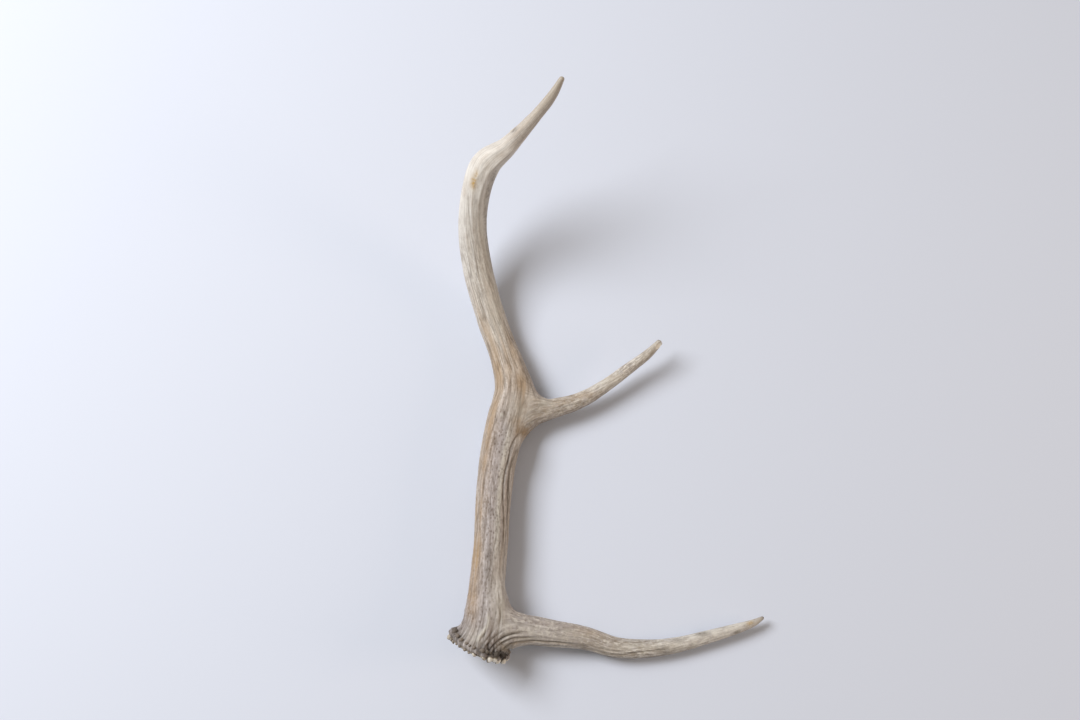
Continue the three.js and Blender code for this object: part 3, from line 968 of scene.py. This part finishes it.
def scaled(vector, factor):
    return add_node(tree, "ShaderNodeVectorMath", {0: vector, "Scale": factor}, operation="SCALE")


def noise_at(vector, scale, detail):
    sockets = {"Vector": scaled(vector, scale), "W": given["Seed"], "Scale": 1.0, "Detail": detail}
    return add_node(tree, "ShaderNodeTexNoise", sockets, noise_dimensions="4D").outputs["Fac"]


def contour(noise, width):
    """1 on the middle contour of a noise, 0 away from it."""
    off = maths("ABSOLUTE", maths("SUBTRACT", noise, 0.5))
    return ramp(off, 0.0, width, 1.0, 0.0)


ridge_rate = maths("DIVIDE", 1.0, given["Ridge spacing"])
found = []
for grain_name in ("beam_grain", "tine_grain"):
    grain = point_layer(grain_name, "FLOAT_VECTOR")
    broad = contour(noise_at(grain, ridge_rate, 1.0), 0.055)
    fine = contour(noise_at(grain, times(ridge_rate, FINE_RIDGES), 1.0), 0.05)
    sockets = {0: grain, 1: (1.0, 1.0, 0.55 / STREAK)}  # pearls are nearly twice as long as wide
    round_grain = add_node(tree, "ShaderNodeVectorMath", sockets, operation="MULTIPLY")
    pearl_place = scaled(round_grain, maths("DIVIDE", 1.0, given["Pearl spacing"]))
    cells = add_node(tree, "ShaderNodeTexVoronoi", {"Vector": pearl_place, "Scale": 1.0})
    holes = noise_at(round_grain, maths("DIVIDE", 0.8, given["Vein hole size"]), 1.5)
    found.append((maths("MAXIMUM", broad, times(fine, 0.6)), cells.outputs["Distance"], holes))
tine_share = point_layer("on_tine")
furrows, cells, holes = (
    add_node(tree, "ShaderNodeMix", {0: tine_share, 2: on_beam_side, 3: on_tine_side}, data_type="FLOAT")
    for on_beam_side, on_tine_side in zip(*found)
)
pearls = times(ramp(cells, 0.15, 0.62, 1.0, 0.0), point_layer("pearly"))
holes = times(ramp(holes, 0.56, 0.66, 0.0, 1.0), point_layer("pearly"))
rugged = point_layer("ruggedness")
own_furrow = point_layer("furrow")
on_cast = point_layer("cast")

where = add_node(tree, "GeometryNodeInputPosition")
pit_place = scaled(where, maths("DIVIDE", 1 / MM, given["Pit spacing"]))
pit_cells = add_node(tree, "ShaderNodeTexVoronoi", {"Vector": pit_place, "Scale": 1.0})
pits = times(ramp(pit_cells.outputs["Distance"], 0.2, 0.5, 1.0, 0.0), on_cast)
swell = maths("SUBTRACT", noise_at(where, 1 / (SWELL_SIZE * MM), 2.0), 0.5)

height = times(times(furrows, rugged), times(given["Ridge height"], -1.0))
height = times(height, maths("SUBTRACT", 1.0, on_cast))
height = maths("MULTIPLY_ADD", pearls, given["Pearl height"], height)
height = maths("MULTIPLY_ADD", swell, given["Swell"], height)
height = maths("SUBTRACT", height, times(holes, given["Vein hole depth"]))
height = maths("ADD", maths("SUBTRACT", height, own_furrow), point_layer("fold"))
height = maths("SUBTRACT", height, times(pits, given["Pit depth"]))
offset = scaled(add_node(tree, "GeometryNodeInputNormal"), times(height, MM))

between_pearls = times(ramp(cells, 0.45, 0.8, 0.0, 0.35), point_layer("pearly"))
between_pearls = maths("MAXIMUM", between_pearls, times(holes, 0.8))
hollow = maths("MAXIMUM", times(furrows, ramp(rugged, 0.0, 1.0, 0.25, 0.9)), between_pearls)
hollow = times(hollow, maths("SUBTRACT", 1.0, on_cast))
hollow = maths("MAXIMUM", hollow, maths("MAXIMUM", pits, maths("MINIMUM", own_furrow, 1.0)))

sockets = {"Geometry": given["Geometry"], "Name": "hollow", "Value": hollow}
moved = add_node(tree, "GeometryNodeStoreNamedAttribute", sockets, data_type="FLOAT", domain="POINT")
moved = add_node(tree, "GeometryNodeSetPosition", {"Geometry": moved, "Offset": offset})
moved = add_node(tree, "GeometryNodeSetShadeSmooth", {"Geometry": moved})
moved = add_node(tree, "GeometryNodeRealizeInstances", {"Geometry": moved})
moved = add_node(tree, "GeometryNodeSetMaterial", {"Geometry": moved, "Material": given["Finish"]})
add_node(tree, "NodeGroupOutput", {"Geometry": moved})
print("relief tree nodes", len(relief.nodes))


# %% Run a tree and keep its result
def run_tree(target, tree, values):
    """Evaluates a Geometry Nodes tree on an object and leaves a plain mesh."""
    modifier = target.modifiers.new(tree.name, "NODES")
    modifier.node_group = tree
    for item in tree.interface.items_tree:
        if item.in_out == "INPUT" and item.name in values:
            modifier[item.identifier] = values[item.name]
    keep_result(target)


run_tree(antler, relief, {"Finish": bone})
skin_points = read_points(antler.data)
skin_points[:, 2] = np.maximum(skin_points[:, 2], 0)
move_points(antler.data, skin_points)
print("antler faces", len(antler.data.polygons), "triangles", len(read_triangles(antler.data)))

# %% [markdown]
# ## Beads of the burr
# The rim of the burr is a string of knobs, like a crust of small stones, white where they rubbed and black
# between. They repeat along a path, so one tree places them: points on the rim's oval, a dented ball on
# each, each with its own size and turn, in two staggered rows.

# %% The rim and one bead
ROWS = [  # [height above the burr's plane in mm, beads, share of the rim's radius]
    [-1.2, 29, 0.96],
    [4.6, 31, 0.94],
]
SMALL_BEAD, BIG_BEAD, LIP_BEAD = 1.6, 3.0, 4.2  # mean radii: on most of the rim, by the tine, on the lip
BIG_BEADS_AT, BIG_BEADS_WIDTH = math.radians(36), 0.6
centre, forward, side, top, _ = (value[0] for value in beam.at([0]))


def string_points(number, height, count, share):
    """One row of the rim as loose points, each with the size of its bead."""
    draw = np.random.default_rng(20 + number)
    angle = TAU * (np.arange(count) + draw.uniform(-0.3, 0.3, count)) / count
    radius = SMALL_BEAD + (BIG_BEAD - SMALL_BEAD) * facing(angle, BIG_BEADS_AT, BIG_BEADS_WIDTH)
    radius += (LIP_BEAD - SMALL_BEAD) * facing(angle, LIP_AT, 0.14)
    radius *= draw.uniform(0.75, 1.2, count)
    up = height + draw.uniform(-0.9, 0.9, count)
    across, thick = (share * BURR_RADIUS)[:, None] - 0.2 * radius
    oval = centre + np.outer(up, forward) + np.outer(across * np.cos(angle), side)
    oval += np.outer(thick * np.sin(angle), top)
    string = make_object("bead_row_%d" % number, (oval + BURR_CENTRE) * MM, [])
    store(string.data, "bead_size", radius * MM)
    return string


BEAD_INPUTS = {
    "Geometry": ("Geometry", None),
    "Unevenness": ("Float", 0.6),
    "Seed": ("Int", 4),
    "Finish": ("Material", None),
}
beads, asked = new_tree("burr_beads", BEAD_INPUTS)
tree = beads


def random_vector(low, high):
    """A different vector for every bead."""
    sockets = {"Min": low, "Max": high, "Seed": asked["Seed"]}
    return add_node(tree, "FunctionNodeRandomValue", sockets, data_type="FLOAT_VECTOR")


ball = add_node(tree, "GeometryNodeMeshIcoSphere", {"Radius": 1.0, "Subdivisions": 4})
ball_place = add_node(tree, "GeometryNodeInputPosition")
dents = add_node(tree, "ShaderNodeTexNoise", {"Vector": ball_place, "Scale": 1.3, "Detail": 2.0})
low = times(asked["Unevenness"], -0.5)
bulge = maths("MULTIPLY_ADD", dents.outputs["Fac"], asked["Unevenness"], low)
shove = scaled(ball_place, bulge)
ball = add_node(tree, "GeometryNodeSetPosition", {"Geometry": ball, "Offset": shove})
size = scaled(random_vector((0.55, 0.55, 0.7), (1.2, 1.2, 1.5)), point_layer("bead_size"))
turn = random_vector((0.0, 0.0, 0.0), (TAU, TAU, TAU))
strung = add_node(tree, "GeometryNodeMeshToPoints", {"Mesh": asked["Geometry"], "Radius": MM})
sockets = {"Points": strung, "Instance": ball, "Rotation": turn, "Scale": size}
strung = add_node(tree, "GeometryNodeInstanceOnPoints", sockets)
strung = add_node(tree, "GeometryNodeRealizeInstances", {"Geometry": strung})
strung = add_node(tree, "GeometryNodeSetShadeSmooth", {"Geometry": strung})
strung = add_node(tree, "GeometryNodeSetMaterial", {"Geometry": strung, "Material": asked["Finish"]})
add_node(tree, "NodeGroupOutput", {"Geometry": strung})

# %% [markdown]
# Rubbed antler turns white and glossy at the tips of the beads and keeps black soil at their feet. By the
# brow tine that black is painted shade as well. A layer tells the material how far each point stands out
# from the rim.

# %% The bead material
rubbed = new_material("rubbed_antler_burr")
tree = rubbed.node_tree
place = add_node(tree, "ShaderNodeTexCoord").outputs["Object"]
mottle = in_space(BEAD_MOTTLE_SIZE, 4.0)
edge = sum_of(layer("proud"), times(mottle, 0.5))
# the beads' feet darken with soil, and by the brow tine with painted shade as well
tone = blend(layer("soil_and_shade"), colour(GREY_BROWN), colour(BEAD_SOIL_AND_SHADE))
tone = blend(ramp(edge, 0.5, 0.8), tone, colour(BEAD_GREY))
tone = blend(ramp(edge, 0.7, 0.92), tone, colour(BEAD_WHITE))
gloss = ramp(edge, 0.6, 1.1, 0.8, 0.42)
bump = add_node(tree, "ShaderNodeBump", {"Height": mottle, "Strength": 0.4, "Distance": 0.4 * MM})
sockets = {"Base Color": tone, "Roughness": gloss, "IOR": BONE_IOR, "Normal": bump}
shader = add_node(tree, "ShaderNodeBsdfPrincipled", sockets)
add_node(tree, "ShaderNodeOutputMaterial", {"Surface": shader})

# %% String the beads
rows = [string_points(number, *row) for number, row in enumerate(ROWS)]
for number, string in enumerate(rows):
    run_tree(string, beads, {"Seed": 4 + number, "Finish": rubbed})
work = bmesh.new()
for string in rows:
    work.from_mesh(string.data)
joined = bpy.data.meshes.new("burr_beads")
work.to_mesh(joined)
work.free()
joined.materials.append(rubbed)
burr_beads = add_object("burr_beads", joined)
for string in rows:
    bpy.data.objects.remove(string)

bead_points = read_points(joined) / MM - BURR_CENTRE
x, z = bead_points @ side / BURR_RADIUS[0], bead_points @ top / BURR_RADIUS[1]
below = fade(bead_points @ forward, -1, 4)
by_tine = facing(np.arctan2(z, x), BIG_BEADS_AT, BIG_BEADS_WIDTH)
store(joined, "proud", smooth(np.hypot(x, z), 0.88, 1.03) * (0.25 + 0.75 * below) * (0.5 + 0.5 * by_tine))
# soil on every bead, more on the lip, and painted shade on the beads by the brow tine
store(joined, "soil_and_shade", 0.3 + 0.65 * np.maximum(by_tine, 0.6 * facing(np.arctan2(z, x), LIP_AT, 0.5)))
bead_points = (bead_points + BURR_CENTRE) * MM
bead_points[:, 2] = np.maximum(bead_points[:, 2], 0)
move_points(joined, bead_points)
joined.shade_smooth()
print("beads", sum(row[1] for row in ROWS), "faces", len(joined.polygons))

# %% Tell the frame what each piece is
for piece in (antler, burr_beads):
    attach(piece, "root")
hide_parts(*NODES)
